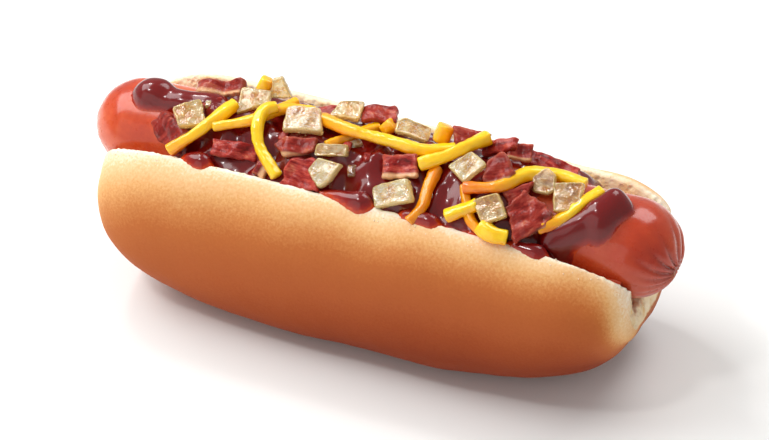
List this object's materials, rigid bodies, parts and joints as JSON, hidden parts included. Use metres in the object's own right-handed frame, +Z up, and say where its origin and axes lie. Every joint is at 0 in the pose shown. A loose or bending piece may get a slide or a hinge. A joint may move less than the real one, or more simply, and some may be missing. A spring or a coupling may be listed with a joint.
{
  "type": "hot dog",
  "caption": "Hot dog: a soft bun cut lengthwise holds a long sausage under a heap of dark sauce, crinkled bacon pieces, fried onion dice and shredded cheese.",
  "frame": {"origin": "middle of the length and the width, at the height of the bun's underside", "axes": "+X runs along the bun, +Y from its lower front half to its higher back half, +Z up"},
  "size_m": [0.165, 0.06, 0.064],
  "materials": {
    "bun": "baked bread crust, golden brown with a cream line along each cut rim, matt",
    "sausage": "smooth cooked sausage skin, orange red, softly glossy",
    "sauce": "thick dark red sauce, wet and glossy",
    "onion": "fried onion, pale and half clear, wet",
    "bacon": "cooked bacon, dark pink with pale fat streaks, greasy",
    "cheese": "shredded cheese, bright yellow, slightly glossy"
  },
  "bodies": {
    "root": {"bun": "bun", "sausage": "sausage", "cheese_1": "cheese", "cheese_2": "cheese", "cheese_3": "cheese", "cheese_4": "cheese", "cheese_5": "cheese", "cheese_6": "cheese", "cheese_7": "cheese", "cheese_8": "cheese", "cheese_9": "cheese", "cheese_10": "cheese", "cheese_11": "cheese", "cheese_12": "cheese", "cheese_13": "cheese", "cheese_14": "cheese", "cheese_15": "cheese", "cheese_16": "cheese", "onion_1": "onion", "onion_2": "onion", "onion_3": "onion", "onion_4": "onion", "onion_5": "onion", "onion_6": "onion", "onion_7": "onion", "onion_8": "onion", "onion_9": "onion", "onion_10": "onion", "onion_11": "onion", "onion_12": "onion", "onion_13": "onion", "bacon_1": "bacon", "bacon_2": "bacon", "bacon_3": "bacon", "bacon_4": "bacon", "bacon_5": "bacon", "bacon_6": "bacon", "bacon_7": "bacon", "bacon_8": "bacon", "bacon_9": "bacon", "bacon_10": "bacon", "bacon_11": "bacon", "bacon_12": "bacon", "bacon_13": "bacon", "bacon_14": "bacon", "bacon_15": "bacon", "bacon_16": "bacon", "bacon_17": "bacon", "bacon_18": "bacon", "sauce": "sauce"}
  },
  "joints": []
}
